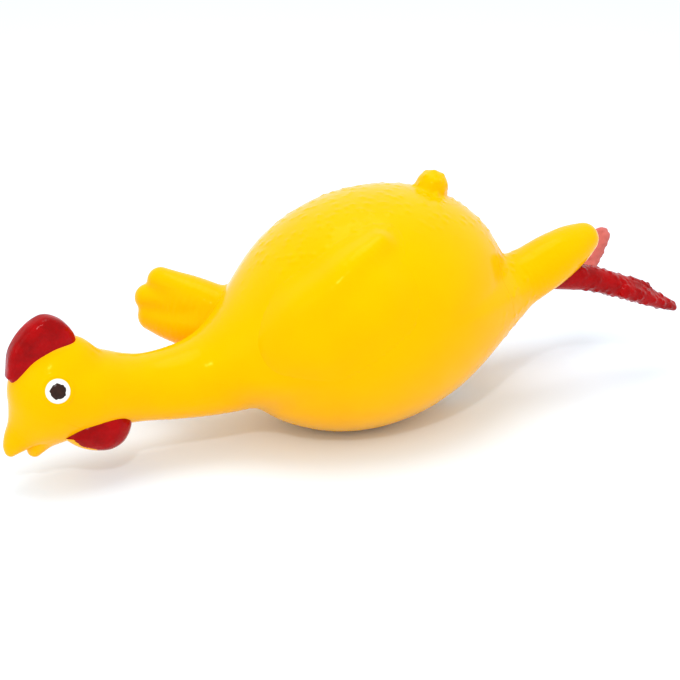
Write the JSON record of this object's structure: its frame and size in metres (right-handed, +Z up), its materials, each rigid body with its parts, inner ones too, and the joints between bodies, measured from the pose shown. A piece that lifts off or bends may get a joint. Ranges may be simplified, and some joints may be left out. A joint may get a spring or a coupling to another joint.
{
  "type": "rubber chicken",
  "caption": "Squeezable hollow vinyl chicken toy lying on its belly, with comb, wattle, beak, wings, tail, floppy neck and legs, and a squeaker in its vent.",
  "frame": {"origin": "on the flat belly patch that the toy rests on, under the middle of the torso", "axes": "+Z up, head towards -X, feet towards +X, the bird's left side towards -Y"},
  "size_m": [0.2328, 0.0792, 0.0818],
  "materials": {
    "yellow_vinyl": "glossy soft vinyl",
    "red_paint": "glossy brushed paint on vinyl",
    "thin_red_paint": "thin glossy paint on vinyl",
    "eye_paint": "glossy paint",
    "pupil_paint": "glossy paint",
    "squeaker_plastic": "glossy moulded",
    "reed_film": "satin film"
  },
  "bodies": {
    "torso": {"torso_skin": "yellow_vinyl", "tail_nub": "yellow_vinyl", "squeaker_cup": "squeaker_plastic", "squeaker_grille": "squeaker_plastic", "reed_holder": "squeaker_plastic"},
    "reed": {"squeaker_reed": "reed_film"},
    "neck_root": {"neck_root_skin": "yellow_vinyl"},
    "neck": {"neck_skin": "yellow_vinyl"},
    "head": {"head_skin": "yellow_vinyl", "comb": "red_paint", "wattle": "red_paint", "upper_beak": "yellow_vinyl", "lower_beak": "yellow_vinyl", "left_eye_white": "eye_paint", "left_pupil": "pupil_paint", "right_eye_white": "eye_paint", "right_pupil": "pupil_paint"},
    "left_wing": {"left_wing": "yellow_vinyl"},
    "right_wing": {"right_wing": "yellow_vinyl"},
    "left_leg": {"left_thigh": "yellow_vinyl", "left_shank": "red_paint"},
    "right_leg": {"right_thigh": "yellow_vinyl", "right_shank": "thin_red_paint"},
    "left_foot": {"left_toes": "red_paint", "left_hind_toe": "red_paint"},
    "right_foot": {"right_toes": "thin_red_paint", "right_hind_toe": "thin_red_paint"}
  },
  "joints": [
    {"name": "reed_buzz", "type": "hinge", "parent": "torso", "child": "reed", "pos_m": [0.03139, 0, 0.019], "axis": [0, 1, 0], "range_deg": [-3, 3], "stiffness_Nm_per_rad": 0.002},
    {"name": "neck_bend", "type": "hinge", "parent": "torso", "child": "neck_root", "pos_m": [-0.044, 0, 0.026], "axis": [0, 1, 0], "range_deg": [-20, 35], "stiffness_Nm_per_rad": 0.9},
    {"name": "neck_turn", "type": "hinge", "parent": "neck_root", "child": "neck", "pos_m": [-0.063, 0, 0.025], "axis": [0, 0, 1], "range_deg": [-35, 35], "stiffness_Nm_per_rad": 0.5},
    {"name": "head_nod", "type": "hinge", "parent": "neck", "child": "head", "pos_m": [-0.088, 0, 0.0275], "axis": [0, 1, 0], "range_deg": [-25, 30], "stiffness_Nm_per_rad": 0.35},
    {"name": "left_wing_lift", "type": "hinge", "parent": "torso", "child": "left_wing", "pos_m": [-0.038, -0.017, 0.044], "axis": [0.5291, 0, 0.8486], "range_deg": [-35, 0], "stiffness_Nm_per_rad": 0.12},
    {"name": "right_wing_flap", "type": "hinge", "parent": "torso", "child": "right_wing", "pos_m": [-0.047, 0.019, 0.04], "axis": [0.5291, 0, 0.8486], "range_deg": [-12, 20], "stiffness_Nm_per_rad": 0.12},
    {"name": "left_hip", "type": "hinge", "parent": "torso", "child": "left_leg", "pos_m": [0.045, -0.013, 0.0405], "axis": [0, -1, 0], "range_deg": [-16, 14], "stiffness_Nm_per_rad": 0.8},
    {"name": "right_hip", "type": "hinge", "parent": "torso", "child": "right_leg", "pos_m": [0.046, 0.011, 0.0305], "axis": [0, -1, 0], "range_deg": [-14, 14], "stiffness_Nm_per_rad": 0.8},
    {"name": "left_ankle", "type": "hinge", "parent": "left_leg", "child": "left_foot", "pos_m": [0.084, -0.015, 0.037], "axis": [0, -1, 0], "range_deg": [-25, 25], "stiffness_Nm_per_rad": 0.15},
    {"name": "right_ankle", "type": "hinge", "parent": "right_leg", "child": "right_foot", "pos_m": [0.086, 0.0135, 0.0305], "axis": [0, -1, 0], "range_deg": [-25, 25], "stiffness_Nm_per_rad": 0.15}
  ]
}
